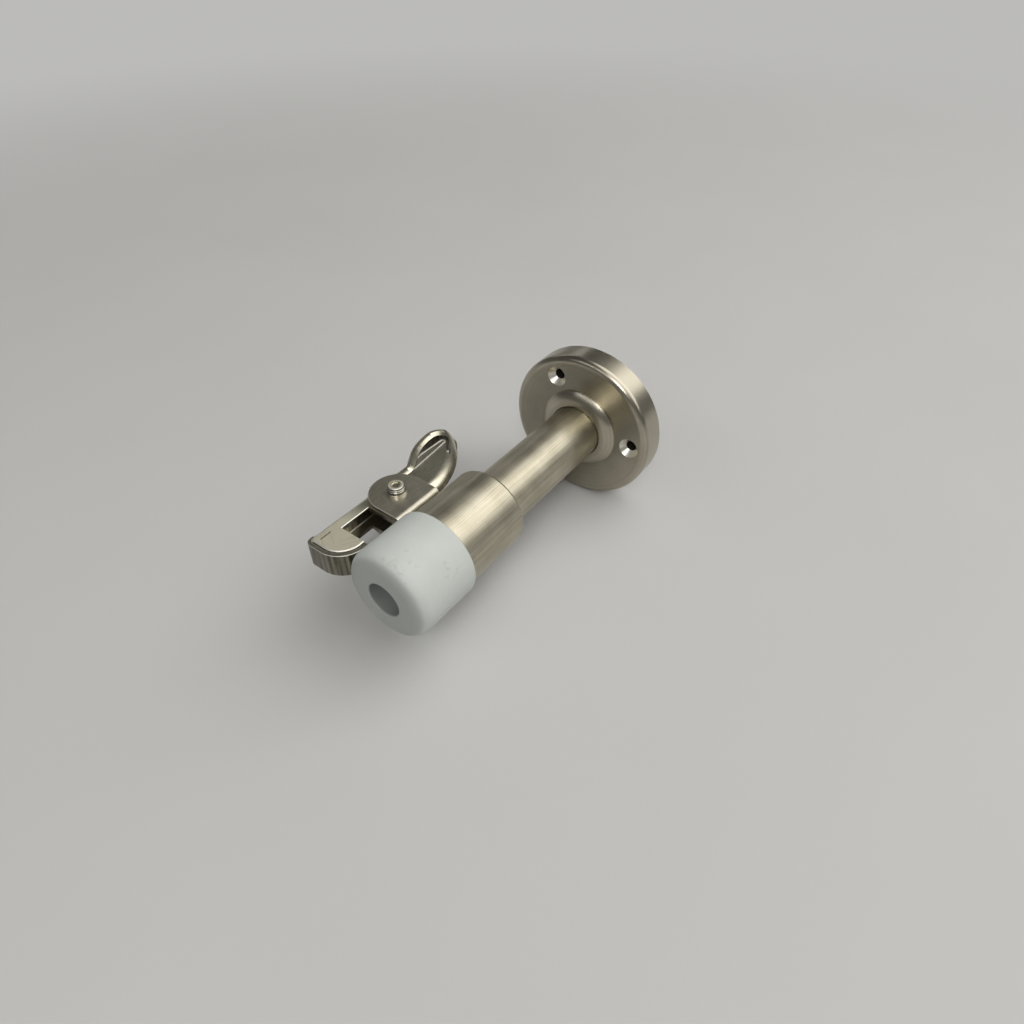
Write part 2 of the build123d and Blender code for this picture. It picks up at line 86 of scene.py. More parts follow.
camera = bpy.data.cameras.new("studio_camera")
camera.sensor_fit, camera.sensor_width = "HORIZONTAL", SENSOR_MM
camera.lens = SENSOR_MM * FOCAL_PIXELS / FRAME_PIXELS
camera.clip_start = CLIP_START
eye = bpy.data.objects.new("studio_camera", camera)
axes = Matrix((CAMERA_RIGHT, CAMERA_UP, CAMERA_BACK)).transposed()
eye.matrix_world = Matrix.Translation(CAMERA_PLACE) @ axes.to_4x4()
scene.collection.objects.link(eye)
scene.camera = eye
print("camera lens in mm:", round(camera.lens, 2))

# %% [markdown]
# ## Helpers for materials
# A Blender material is a graph of small nodes. One finish could be wired by
# hand in the shader editor. Here a dozen are built, so short functions make
# the nodes that come up again and again. The finishes read Object coordinates,
# because those ride along with a piece when it moves.

# %% Node helpers
def new_finish(name):
    """An empty node material; gives the material, its tree and its shader."""
    finish = bpy.data.materials.new(name)
    finish.use_nodes = True
    tree = finish.node_tree
    return finish, tree, tree.nodes["Principled BSDF"]


def feed(tree, value, socket):
    """Links another node's socket to this one, or sets it to a plain value."""
    if isinstance(value, bpy.types.NodeSocket):
        tree.links.new(value, socket)
    else:
        socket.default_value = value


def math_node(tree, kind, a, b=0.0):
    """A Math node; a and b are sockets or numbers."""
    node = tree.nodes.new("ShaderNodeMath")
    node.operation = kind
    feed(tree, a, node.inputs[0])
    feed(tree, b, node.inputs[1])
    return node.outputs["Value"]


def weigh(tree, a, b, share):
    """Mixes two grey sockets: a share of b, and the rest of a."""
    return math_node(tree, "ADD", math_node(tree, "MULTIPLY", a, 1.0 - share),
                     math_node(tree, "MULTIPLY", b, share))


def fade(tree, value, start, end):
    """A soft step: 0 where the value is at start, 1 where it is at end."""
    node = tree.nodes.new("ShaderNodeMapRange")
    node.interpolation_type = "SMOOTHSTEP"
    node.inputs["From Min"].default_value = start
    node.inputs["From Max"].default_value = end
    tree.links.new(value, node.inputs["Value"])
    return node.outputs["Result"]


# %% [markdown]
# ### Places
# The next ones say where on a piece a point is, and which way it faces there.
# A distance from an axis comes up often, because most of the part is round.

# %% Place helpers
def object_place(tree):
    """Object coordinates, in metres."""
    return tree.nodes.new("ShaderNodeTexCoord").outputs["Object"]


def surface_normal(tree):
    """The direction that the surface faces."""
    return tree.nodes.new("ShaderNodeNewGeometry").outputs["Normal"]


def split_node(tree, vector):
    """The X, Y and Z of a vector, each as a socket."""
    node = tree.nodes.new("ShaderNodeSeparateXYZ")
    tree.links.new(vector, node.inputs["Vector"])
    return node.outputs["X"], node.outputs["Y"], node.outputs["Z"]


def distance_node(tree, where, point=(0, 0, 0), keep=(1, 1, 1)):
    """Distance from a point, or from a line through it along the axis that keep drops."""
    flat = tree.nodes.new("ShaderNodeVectorMath")
    flat.operation, flat.inputs[1].default_value = "MULTIPLY", keep
    gap = tree.nodes.new("ShaderNodeVectorMath")
    gap.operation, gap.inputs[1].default_value = "DISTANCE", point
    tree.links.new(where, flat.inputs[0])
    tree.links.new(flat.outputs["Vector"], gap.inputs[0])
    return gap.outputs["Value"]


# %% [markdown]
# ### Noises and colours
# These draw a noise and turn a grey value into colours. A painted picture
# could take the noise's place, but a picture has a finest detail, and a noise
# stays sharp at any distance.

# %% Noise and colour helpers
def noise_node(tree, vector, scale, detail=2.0, stretch=(1, 1, 1)):
    """A noise on a vector, stretched by a Mapping; gives its grey output."""
    mapping = tree.nodes.new("ShaderNodeMapping")
    mapping.inputs["Scale"].default_value = stretch
    noise = tree.nodes.new("ShaderNodeTexNoise")
    noise.inputs["Scale"].default_value = scale
    noise.inputs["Detail"].default_value = detail
    tree.links.new(vector, mapping.inputs["Vector"])
    tree.links.new(mapping.outputs["Vector"], noise.inputs["Vector"])
    return noise.outputs["Fac"]


def ramp_node(tree, factor, *stops):
    """A colour ramp through two (position, colour) stops."""
    node = tree.nodes.new("ShaderNodeValToRGB")
    for mark, (position, colour) in zip(node.color_ramp.elements, stops):
        mark.position, mark.color = position, (*colour, 1)
    tree.links.new(factor, node.inputs["Fac"])
    return node.outputs["Color"]


def mix_node(tree, kind, share, below, above):
    """Lays one colour on another by a share; each is a socket or a value."""
    node = tree.nodes.new("ShaderNodeMixRGB")
    node.blend_type = kind
    feed(tree, share, node.inputs["Fac"])
    feed(tree, below, node.inputs["Color1"])
    feed(tree, above, node.inputs["Color2"])
    return node.outputs["Color"]


# %% [markdown]
# ## The floor
# A plain pale sheet under the part catches its shadow. It lies just below the
# flange's lowest point. A plane is enough, because nothing of it is looked at
# closely, but a faint mottle keeps it from being one flat colour.

# %% Floor
FLOOR_SIZE, FLOOR_GAP = 12.0, 0.02 * MM
MOTTLE_SCALE, PAPER_ROUGHNESS = 9.0, 0.9
floor_z = cad_box[0][2] - FLOOR_GAP
bpy.ops.object.select_all(action="DESELECT")
bpy.ops.mesh.primitive_plane_add(size=FLOOR_SIZE, location=(0, 0, floor_z))
floor = bpy.context.object
floor.name = "studio_floor"
paper, tree, shader = new_finish("pale_paper")
where = object_place(tree)
shade = ramp_node(tree, noise_node(tree, where, MOTTLE_SCALE),
                  (0.0, (0.56, 0.56, 0.552)), (1.0, (0.60, 0.60, 0.592)))
tree.links.new(shade, shader.inputs["Base Color"])
shader.inputs["Roughness"].default_value = PAPER_ROUGHNESS
floor.data.materials.append(paper)
print("floor at z in mm:", round(floor_z / MM, 2))

# %% [markdown]
# ### Its far end
# Far from the part the lamps no longer reach. More lamps would help, but they
# would show in the steel. So far away the sheet glows as pale as it is lit
# near by, for what the camera and the mirrors see, and only near the part does
# it take light and shadow.

# %% Floor glow
NEAR, FAR, PALE = 0.22, 0.95, (0.50, 0.497, 0.485, 1)
ray = tree.nodes.new("ShaderNodeLightPath").outputs
seen = math_node(tree, "MAXIMUM", ray["Is Camera Ray"], ray["Is Glossy Ray"])
seen = math_node(tree, "MAXIMUM", seen, ray["Is Transmission Ray"])
away = fade(tree, distance_node(tree, where), NEAR, FAR)
glow = tree.nodes.new("ShaderNodeEmission")
glow.inputs["Color"].default_value = PALE
blend = tree.nodes.new("ShaderNodeMixShader")
tree.links.new(math_node(tree, "MULTIPLY", seen, away), blend.inputs["Fac"])
tree.links.new(shader.outputs["BSDF"], blend.inputs[1])
tree.links.new(glow.outputs["Emission"], blend.inputs[2])
tree.links.new(blend.outputs["Shader"], tree.nodes["Material Output"].inputs["Surface"])
print("floor takes light within", NEAR, "m and only glows past", FAR, "m")

# %% [markdown]
# ## The light
# Bright steel shows what stands round it more than its own colour. In the
# picture the tubes have one broad pale band along the top and dark flanks, so
# the studio has one wide soft box overhead, a little to the right and behind,
# with a smaller one before it for the core of that band. A low strip at the
# far left draws a thin line along the tubes' left side. A long strip in front
# draws bright lines along the edges that face the camera, and a small box
# beside it lights the side of the stem that the flange mirrors. A picture of a
# real studio could light the part too, but lamps can be moved one at a time.

# %% Light
MIDDLE = Vector((0.0, -0.055, 0.0))
WARM, NEUTRAL = (1.0, 0.985, 0.96), (1.0, 0.99, 0.97)


def soft_box(name, place, wide, high, watts, tint):
    """An area lamp at a place, turned to the part's middle."""
    lamp = bpy.data.lights.new(name, "AREA")
    lamp.shape, lamp.size, lamp.size_y = "RECTANGLE", wide, high
    lamp.energy, lamp.color = watts, tint
    box = bpy.data.objects.new(name, lamp)
    box.location = place
    turn = (MIDDLE - Vector(place)).to_track_quat("-Z", "Y")
    box.rotation_euler = turn.to_euler()
    scene.collection.objects.link(box)


soft_box("key_box", (0.64, 0.42, 1.25), 1.95, 1.95, 19.5, WARM)
soft_box("core_box", (0.45, 0.66, 0.95), 0.8, 0.8, 1.3, WARM)
soft_box("far_strip", (-1.15, 0.89, 0.59), 1.1, 0.10, 0.6, WARM)
soft_box("front_strip", (-0.4, -1.45, 1.25), 1.5, 0.2, 2.6, NEUTRAL)
soft_box("right_box", (0.55, -0.98, 1.10), 0.5, 0.5, 6.5, NEUTRAL)

# %% [markdown]
# ### The room
# The room itself is dim, a little lighter at the horizon than above. One flat
# grey would do too, but then a mirror would show no up and down in it.

# %% Room
HORIZON, ZENITH, ZENITH_FROM = (0.14, 0.14, 0.137), (0.09, 0.09, 0.087), 0.55
world = bpy.data.worlds.new("dim_room")
world.use_nodes = True
room = world.node_tree
height = split_node(room, room.nodes.new("ShaderNodeTexCoord").outputs["Generated"])[2]
sky = ramp_node(room, height, (0.0, HORIZON), (ZENITH_FROM, ZENITH))
room.links.new(sky, room.nodes["Background"].inputs["Color"])
scene.world = world
scene.view_settings.view_transform = "Standard"
print("room:", world.name, "shown as", scene.view_settings.view_transform)

# %% [markdown]
# ## Steel
# Every metal piece is satin steel. What tells the pieces apart is how each
# was ground: the stem and sleeve along their length, the flange in circles on
# a lathe, the stamped hook and bracket by tumbling. One helper builds the
# common part: a fine grain that is stretched along the grinding direction,
# slow blotches that change the gloss, and brighter edges, partly wear and
# partly a painted highlight.

# %% Steel helpers
EDGE_SAMPLES, EDGE_GAIN = 6, 3.0
RING_DRIFT = 0.012


def edge_mask(tree, radius):
    """White along convex and concave edges, from a rounded normal."""
    soft = tree.nodes.new("ShaderNodeBevel")
    soft.samples = EDGE_SAMPLES
    soft.inputs["Radius"].default_value = radius
    dot = tree.nodes.new("ShaderNodeVectorMath")
    dot.operation = "DOT_PRODUCT"
    tree.links.new(soft.outputs["Normal"], dot.inputs[0])
    tree.links.new(surface_normal(tree), dot.inputs[1])
    gap = math_node(tree, "SUBTRACT", 1.0, dot.outputs["Value"])
    return math_node(tree, "MULTIPLY", gap, EDGE_GAIN)


def lathe_vector(tree, where):
    """Object coordinates as rings round the Y axis: fast across, slow along."""
    x, _, z = split_node(tree, where)
    join = tree.nodes.new("ShaderNodeCombineXYZ")
    tree.links.new(distance_node(tree, where, keep=(1, 0, 1)), join.inputs["X"])
    tree.links.new(math_node(tree, "MULTIPLY", x, RING_DRIFT), join.inputs["Y"])
    tree.links.new(math_node(tree, "MULTIPLY", z, RING_DRIFT), join.inputs["Z"])
    return join.outputs["Vector"]


def emboss(tree, shader, height, strength, depth):
    """Raises and sinks the surface a little, for the light only."""
    node = tree.nodes.new("ShaderNodeBump")
    node.inputs["Strength"].default_value = strength
    node.inputs["Distance"].default_value = depth
    tree.links.new(height, node.inputs["Height"])
    tree.links.new(node.outputs["Normal"], shader.inputs["Normal"])


# %% [markdown]
# ### One steel for all
# The two tints, the range of roughness and the grain are left open, so that
# each piece gets its own. Copying one finished material and changing it would
# work as well, but then a better grain would have to be copied nine times.

# %% Steel
BLOTCHES, SPECKS, SPECK_SHARE = 130.0, 900.0, 0.4
DARK_AT, LIGHT_AT = 0.32, 0.68
# The edge colour below is partly wear and partly a painted highlight.
EDGE_WEAR_AND_HIGHLIGHT, EDGE_WEAR_AND_HIGHLIGHT_SHARE = (0.50, 0.485, 0.44, 1), 0.8
GRAIN_DEPTH = 0.02 * MM


def steel(name, dark, light, gloss, grain, bump, rings=False, edge=0.25, mottle=0.45):
    """Satin steel: two tints, a (low, high) roughness, a grain stretch per metre."""
    finish, tree, shader = new_finish(name)
    where = object_place(tree)
    along = lathe_vector(tree, where) if rings else where
    fine = noise_node(tree, along, 1.0, 3.0, grain)
    blotch = noise_node(tree, where, BLOTCHES, 4.0)
    speck = noise_node(tree, where, SPECKS)
    colour = ramp_node(tree, weigh(tree, fine, blotch, mottle),
                       (DARK_AT, dark), (LIGHT_AT, light))
    # Brighter edges: partly edge wear, partly a painted highlight for the lines of light
    # along them.
    wear_and_highlight = math_node(tree, "MULTIPLY", edge_mask(tree, edge * MM), EDGE_WEAR_AND_HIGHLIGHT_SHARE)
    tree.links.new(mix_node(tree, "SCREEN", wear_and_highlight, colour, EDGE_WEAR_AND_HIGHLIGHT), shader.inputs["Base Color"])
    low, high = gloss
    rough = math_node(tree, "MULTIPLY", weigh(tree, blotch, speck, SPECK_SHARE), high - low)
    tree.links.new(math_node(tree, "ADD", rough, low), shader.inputs["Roughness"])
    emboss(tree, shader, fine, bump, GRAIN_DEPTH)
    shader.inputs["Metallic"].default_value = 1.0
    return finish, tree, shader


def wear(node, finish):
    """Puts a finish in every material slot of a CAD node."""
    for place in nodes[node].material_slots:
        place.material = finish
    print(node, "wears", finish.name)


# %% [markdown]
# ## Finishes that change from place to place
# One piece is seldom finished alike all over: a drilled hole is painted dark
# as shade, a countersink is cut bright, a rubbed nose is pale. A mask, black
# to white, says where. It could be painted by hand, but a mask worked out from
# the place or the slope of the surface stays sharp at any distance. Small
# helpers lay a colour and a gloss over the steel where a mask is white.

# %% Overlays
def colour_over(tree, shader, mask, colour):
    """Lays a colour over the base colour where the mask is white."""
    below = shader.inputs["Base Color"].links[0].from_socket
    mixed = mix_node(tree, "MIX", mask, below, (*colour, 1))
    tree.links.new(mixed, shader.inputs["Base Color"])


def gloss_over(tree, shader, mask, roughness):
    """Draws the roughness towards a value where the mask is white."""
    below = shader.inputs["Roughness"].links[0].from_socket
    pull = math_node(tree, "MULTIPLY", math_node(tree, "SUBTRACT", roughness, below), mask)
    tree.links.new(math_node(tree, "ADD", below, pull), shader.inputs["Roughness"])


def finish_over(tree, shader, mask, colour, roughness):
    """Lays both a colour and a roughness over what is there."""
    colour_over(tree, shader, mask, colour)
    gloss_over(tree, shader, mask, roughness)


# %% [markdown]
# ### Walls and rubbed edges, with painted light
# On a stamping the level faces, the walls and the rounded edges between them
# wear in different ways. Here the walls also carry painted shade, and the
# edges a painted highlight on top of their wear. Each could be a material slot
# of its own, with its faces picked by hand. The slope of the surface tells them
# apart as well, and it blends from one to the next.

# %% Slope masks
WALL, EDGE_LOW, EDGE_HIGH = (0.35, 0.08), (0.15, 0.35), (0.99, 0.93)
# The pale edge colour below is partly wear and partly a painted highlight.
RUBBED_AND_HIGHLIGHT, RUBBED_ROUGHNESS = (0.95, 0.925, 0.83), 0.48


def levelness(tree):
    """1 on level faces, 0 on upright walls."""
    return math_node(tree, "ABSOLUTE", split_node(tree, surface_normal(tree))[2])


def wall_mask(tree):
    """White on upright walls, black on level faces; slopes lie between."""
    return fade(tree, levelness(tree), *WALL)


def rub_and_highlight_edges(tree, shader, mask):
    """Makes rounded edges pale inside a mask, partly wear and partly a painted highlight;
    they slope between level and wall.
    """
    level = levelness(tree)
    slopes = math_node(tree, "MULTIPLY", fade(tree, level, *EDGE_LOW),
                       fade(tree, level, *EDGE_HIGH))
    rubbed = math_node(tree, "MULTIPLY", slopes, mask)
    finish_over(tree, shader, rubbed, RUBBED_AND_HIGHLIGHT, RUBBED_ROUGHNESS)


# %% [markdown]
# ## The tubes
# Stem and sleeve are drawn tube, ground along the length. Long, very thin
# grain does that: it changes quickly round the tube and slowly along Y. Real
# grooves would take millions of faces, so the grain is in the shader. Such
# grinding spreads a reflection round the tube but not along it, so the shader
# is anisotropic, with a tangent that circles the Y axis.

# %% Tubes
LENGTHWISE, TUBE_BUMP, TUBE_SPREAD = (3000, 40, 3000), 0.16, 0.6


def grind_round_y(tree, shader, amount, quarter=0.0):
    """Stretches reflections round the Y axis, or across the rings by a quarter turn."""
    shader.inputs["Anisotropic"].default_value = amount
    shader.inputs["Anisotropic Rotation"].default_value = quarter
    circling = tree.nodes.new("ShaderNodeTangent")
    circling.direction_type, circling.axis = "RADIAL", "Y"
    tree.links.new(circling.outputs["Tangent"], shader.inputs["Tangent"])


for node, name, dark, light, gloss in (
        ("stem_tube", "tube_satin", (0.33, 0.30, 0.222), (0.56, 0.523, 0.417), (0.28, 0.44)),
        ("sleeve", "sleeve_satin", (0.33, 0.30, 0.224), (0.55, 0.515, 0.412), (0.25, 0.40))):
    tube_steel, tree, shader = steel(name, dark, light, gloss, LENGTHWISE, TUBE_BUMP)
    grind_round_y(tree, shader, TUBE_SPREAD)
    wear(node, tube_steel)

# %% [markdown]
# ## The flange
# The flange was finished on a lathe, so its grain runs in rings about the
# stem. Rings need polar thinking: a noise that reads the distance from the
# axis changes fast across the rings and hardly at all along them. Fine rings
# also spread a reflection across themselves, as on a pan's bottom, so the
# shader is a little anisotropic, with a tangent that circles the Y axis and is
# turned by a quarter. It is glossy enough for the face to mirror the stem.

# %% Flange
RING_SPREAD, QUARTER_TURN = 0.3, 0.25
flange_steel, tree, shader = steel(
    "flange_turned", dark=(0.33, 0.303, 0.238), light=(0.54, 0.50, 0.408),
    gloss=(0.25, 0.32), grain=(2600, 1, 1), bump=0.10, rings=True, mottle=0.25)
grind_round_y(tree, shader, RING_SPREAD, QUARTER_TURN)
print("flange rings are ground in", flange_steel.name)

# %% [markdown]
# ### Its screw holes
# Three countersunk holes take the wall screws. The record says where they
# are, so the same circle places the masks, and no place has to be measured
# twice: each countersink is freshly cut and bright, and the hole inside it is
# painted dark, as painted shade.

# %% Screw holes
SINK_R, SINK_BLUR, BORE_BLUR = 3.75 * MM, 0.15 * MM, 0.1 * MM
FRESH_CUT, CUT_ROUGHNESS = (0.80, 0.775, 0.69), 0.36
# The hole colour below is painted shade for the deep holes, not the steel's own colour.
BORE_SHADE_TINT, BORE_ROUGHNESS = (0.05, 0.047, 0.04), 0.8
screws = frame["record"]["mounts"][0]["dims"]
circle_r, bore_r = screws["pcd_mm"] * MM / 2, screws["hole_r_mm"] * MM
where = object_place(tree)
nearest = 1.0
for number in range(screws["count"]):
    turn = 2 * math.pi * number / screws["count"]
    centre = (circle_r * math.cos(turn), 0, circle_r * math.sin(turn))
    gap = distance_node(tree, where, centre, keep=(1, 0, 1))
    nearest = math_node(tree, "MINIMUM", gap, nearest)
sink = fade(tree, nearest, SINK_R, SINK_R - SINK_BLUR)
shaded_bore = fade(tree, nearest, bore_r + BORE_BLUR, bore_r)
finish_over(tree, shader, sink, FRESH_CUT, CUT_ROUGHNESS)
# Painted shade: the inside of each hole is darkened.
finish_over(tree, shader, shaded_bore, BORE_SHADE_TINT, BORE_ROUGHNESS)
wear("wall_flange", flange_steel)
print("masks for", screws["count"], "screw holes on a circle of", screws["pcd_mm"], "mm")

# %% [markdown]
# ## Softened stampings
# A press leaves sheet metal with a small radius on its edges, and tumbling in
# a drum rounds it further. CAD edges are perfectly sharp, so they catch no
# light. The CAD meshes must stay as they are, so the work is done on copies.
# A CAD mesh comes in loose triangles, which can't be bevelled. First, then, a
# copy is welded, and its flat areas are joined into single faces.

# %% Welded copies
WELD, FLAT_DEGREES = 0.002 * MM, 0.6


def select_only(piece):
    """Deselects everything, then makes one object the selected and active one."""
    bpy.ops.object.select_all(action="DESELECT")
    piece.select_set(True)
    bpy.context.view_layer.objects.active = piece


def welded_copy(node, name):
    """A copy of a CAD node's mesh with its loose triangles welded together."""
    piece = bpy.data.objects.new(name, nodes[node].data.copy())
    scene.collection.objects.link(piece)
    select_only(piece)
    bpy.ops.mesh.customdata_custom_splitnormals_clear()
    bpy.ops.object.mode_set(mode="EDIT")
    bpy.ops.mesh.select_all(action="SELECT")
    bpy.ops.mesh.remove_doubles(threshold=WELD)
    bpy.ops.mesh.dissolve_limited(angle_limit=math.radians(FLAT_DEGREES))
    bpy.ops.object.mode_set(mode="OBJECT")
    return piece


# %% [markdown]
# ### Rounding
# A Bevel modifier would be the usual way, but on a CAD mesh its guard against
# overlaps shrinks the bevel to nothing. So the sharp edges are picked by their
# angle and bevelled in three steps, without that guard. Weighted normals keep
# the flats flat to the eye.

# %% Edge softener
SHARP_DEGREES, SMOOTH_DEGREES, BEVEL_STEPS = 34.0, 40.0, 3


def soften(piece, width, picks=lambda point: True):
    """Rounds the sharp edges by a width in mm, all or where a test picks them."""
    select_only(piece)
    bpy.ops.object.mode_set(mode="EDIT")
    bpy.ops.mesh.select_mode(type="EDGE")
    bpy.ops.mesh.select_all(action="DESELECT")
    drawn = bmesh.from_edit_mesh(piece.data)
    for edge in drawn.edges:
        turns = edge.is_manifold and edge.calc_face_angle() > math.radians(SHARP_DEGREES)
        edge.select = turns and all(picks(end.co / MM) for end in edge.verts)
    bmesh.update_edit_mesh(piece.data)
    bpy.ops.mesh.bevel(offset=width * MM, segments=BEVEL_STEPS, affect="EDGES",
                       clamp_overlap=False)
    bpy.ops.object.mode_set(mode="OBJECT")
    bpy.ops.object.shade_smooth_by_angle(angle=math.radians(SMOOTH_DEGREES))
    flats = piece.modifiers.new("flat_faces", "WEIGHTED_NORMAL")
    flats.keep_sharp = True
    bpy.ops.object.modifier_apply(modifier=flats.name)


# %% [markdown]
# ### Standing in
# The softened copy takes the CAD node's place: it is parented to an empty
# named for its body, and the CAD node is hidden, so nothing shows twice.

# %% Stand-ins
def stand_for(piece, node, body, finish):
    """Hides the CAD node, gives the piece the finish and parents it to the body's empty."""
    piece.data.materials.clear()
    piece.data.materials.append(finish)
    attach(piece, body)
    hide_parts(node)
    print(piece.name, "stands for", node, "with", len(piece.data.polygons), "faces")


# %% [markdown]
# ## The hook's finish
# The hook is stamped from sheet and tumbled, so its grain has no clear
# direction. The flat top of the nose, which the keeper rubs, is pale and
# finely scratched. Scratches could be drawn as curves, but a noise that is
# drawn out along one direction gives thousands of them at once.

# %% Hook finish
NOSE_FROM, NOSE_TO, TOP_FACE = -84 * MM, -97 * MM, 4.5 * MM
RUBBED_NOSE, NOSE_ROUGHNESS = (0.82, 0.785, 0.635), 0.60
SCRATCHED, SCRATCH_ROUGHNESS, SCRATCH_SHARE = (0.36, 0.336, 0.255), 0.28, 0.32
SCRATCH_SETS, SCRATCH_BLUR = (((3000, 60, 1), 0.67), ((2700, 80, 1), 0.69)), 0.05


def scratches(tree, where, *turns):
    """Two crossing sets of thin straight scratches, each turned by some degrees."""
    sets = []
    for turn, (stretch, start) in zip(turns, SCRATCH_SETS):
        mapping = tree.nodes.new("ShaderNodeMapping")
        mapping.inputs["Rotation"].default_value = (0, 0, math.radians(turn))
        tree.links.new(where, mapping.inputs["Vector"])
        drawn = noise_node(tree, mapping.outputs["Vector"], 1.0, 0.5, stretch)
        sets.append(fade(tree, drawn, start, start + SCRATCH_BLUR))
    return math_node(tree, "MAXIMUM", *sets)


hook_steel, tree, shader = steel(
    "hook_tumbled", dark=(0.50, 0.47, 0.365), light=(0.72, 0.682, 0.555),
    gloss=(0.22, 0.36), grain=(900, 300, 900), bump=0.10, edge=0.3)
where = object_place(tree)
_, y, z = split_node(tree, where)
nose = math_node(tree, "MULTIPLY", fade(tree, y, NOSE_FROM, NOSE_TO),
                 fade(tree, z, TOP_FACE - 0.30 * MM, TOP_FACE - 0.18 * MM))
finish_over(tree, shader, nose, RUBBED_NOSE, NOSE_ROUGHNESS)
fine = math_node(tree, "MULTIPLY", scratches(tree, where, 35, -58), SCRATCH_SHARE)
finish_over(tree, shader, fine, SCRATCHED, SCRATCH_ROUGHNESS)
print("nose rubbed from y =", round(NOSE_FROM / MM), "to", round(NOSE_TO / MM), "mm")

# %% [markdown]
# ### Its walls and edges
# The walls are painted dark, as painted shade, with upright streaks from the
# press, and the front edges are rubbed pale, partly wear and partly a painted
# highlight. The slope of the surface tells walls and edges apart, so no edge
# has to be marked by hand.

# %% Hook walls
HOOK_WALL_SHADE, SKIN_ROUGHNESS = (0.09, 0.083, 0.063), 0.30
UPRIGHT, STREAK_RANGE = (850, 850, 40), (1.15, 0.25)
FRONT_FROM, FRONT_TO = -84 * MM, -88 * MM
streak = noise_node(tree, where, 1.0, 4.0, UPRIGHT)
wall = wall_mask(tree)
wall_shade = math_node(tree, "MULTIPLY", wall, fade(tree, streak, *STREAK_RANGE))
# Painted shade: the upright walls are darkened, broken by the streaks.
colour_over(tree, shader, wall_shade, HOOK_WALL_SHADE)
gloss_over(tree, shader, wall, SKIN_ROUGHNESS)
rub_and_highlight_edges(tree, shader, fade(tree, y, FRONT_FROM, FRONT_TO))
print("edges rubbed in front of y =", round(FRONT_TO / MM), "mm")

# %% [markdown]
# ## The hook
# Its nose is wrapped by a strap with two long sharp edges. Only these are
# rounded: the rest of the hook has folds so close together that a bevel
# without a guard would throw spikes there.

# %% Hook
STRAP_TOP, STRAP_REAR, STRAP_SLACK, STRAP_ROUND = 4.15, -99.0, 0.01, 0.2


def on_strap(point):
    """Whether a point, in mm, lies on an upper or lower edge of the nose strap."""
    return abs(abs(point.z) - STRAP_TOP) < STRAP_SLACK and point.y < STRAP_REAR


hook_piece = welded_copy("hook_latch", "hook_soft")
soften(hook_piece, STRAP_ROUND, on_strap)
stand_for(hook_piece, "hook_latch", "hook", hook_steel)

# %% [markdown]
# ## The bracket
# The bracket is folded from the same sheet, but duller, because no keeper
# rubs it. Its walls are painted dark, as painted shade. Its cut edges are made
# pale at the front, the rear and the left, partly wear and partly a painted
# highlight, and not where it joins the sleeve. The same masks as on the hook
# do it, with other places and tints.

# %% Bracket finish
PALE_SCRATCH, BRACKET_WALL_SHADE = (0.80, 0.775, 0.68), (0.15, 0.14, 0.11)
PALE_SHARE, WALL_SHADE_SHARE = 0.3, 0.7
FRONT_EDGE, REAR_EDGE = (-86.95 * MM, -87.1 * MM), (-69.85 * MM, -69.7 * MM)
LEFT_EDGE = (-21.0 * MM, -24.0 * MM)
bracket_steel, tree, shader = steel(
    "bracket_tumbled", dark=(0.42, 0.393, 0.315), light=(0.58, 0.547, 0.45),
    gloss=(0.32, 0.46), grain=(900, 400, 900), bump=0.10, edge=0.3)
where = object_place(tree)
fine = math_node(tree, "MULTIPLY", scratches(tree, where, 20, -70), PALE_SHARE)
colour_over(tree, shader, fine, PALE_SCRATCH)
wall = math_node(tree, "MULTIPLY", wall_mask(tree), WALL_SHADE_SHARE)
# Painted shade: the bracket's walls are darkened.
colour_over(tree, shader, wall, BRACKET_WALL_SHADE)
x, y, _ = split_node(tree, where)
ends = math_node(tree, "MAXIMUM", fade(tree, y, *FRONT_EDGE), fade(tree, y, *REAR_EDGE))
rub_and_highlight_edges(tree, shader, math_node(tree, "MAXIMUM", ends, fade(tree, x, *LEFT_EDGE)))
print("bracket edges rubbed in", bracket_steel.name)

# %% [markdown]
# ### Its shape
# All the sharp edges of the bracket are rounded. Picking some would do for
# this picture, but nothing on the bracket is finer than the bevel, so there is
# no need.

# %% Bracket
BRACKET_ROUND = 0.26
bracket_piece = welded_copy("hook_bracket", "bracket_soft")
soften(bracket_piece, BRACKET_ROUND)
stand_for(bracket_piece, "hook_bracket", "stop", bracket_steel)

# %% [markdown]
# ## The pin
# The pin is bright turned steel, riveted over at the top. The riveted crown
# is pale, the dish in its middle is pitted and a little brown, and the grooves
# below the crown are painted dark, as painted shade in the creases. Each is a
# ring about the hook's hinge, whose place the record gives, so distance from
# that axis makes the masks.

# %% Pin finish
CROWN_STEP = (8.59 * MM, 8.65 * MM)
GROOVE_RIM, DISH_RIM = (2.62 * MM, 2.48 * MM), (1.82 * MM, 1.66 * MM)
PIT_SCALE, PIT_RANGE = 2400.0, (0.50, 0.62)
pin_steel, tree, shader = steel(
    "pin_bright", dark=(0.46, 0.44, 0.385), light=(0.62, 0.595, 0.53),
    gloss=(0.18, 0.34), grain=(1500, 1500, 1500), bump=0.2, edge=0.2)
where = object_place(tree)
pin_x, pin_y, _ = frame["record"]["behaviour"]["joints"][0]["pos_m"]
reach = distance_node(tree, where, (pin_x, pin_y, 0), keep=(1, 1, 0))
crown = fade(tree, split_node(tree, where)[2], *CROWN_STEP)
below = math_node(tree, "SUBTRACT", 1.0, crown)
groove = math_node(tree, "MULTIPLY", below, fade(tree, reach, *GROOVE_RIM))
dish = math_node(tree, "MULTIPLY", crown, fade(tree, reach, *DISH_RIM))
pits = fade(tree, noise_node(tree, where, PIT_SCALE), *PIT_RANGE)
finish_over(tree, shader, crown, colour=(0.90, 0.87, 0.78), roughness=0.50)
finish_over(tree, shader, dish, colour=(0.66, 0.60, 0.42), roughness=0.58)
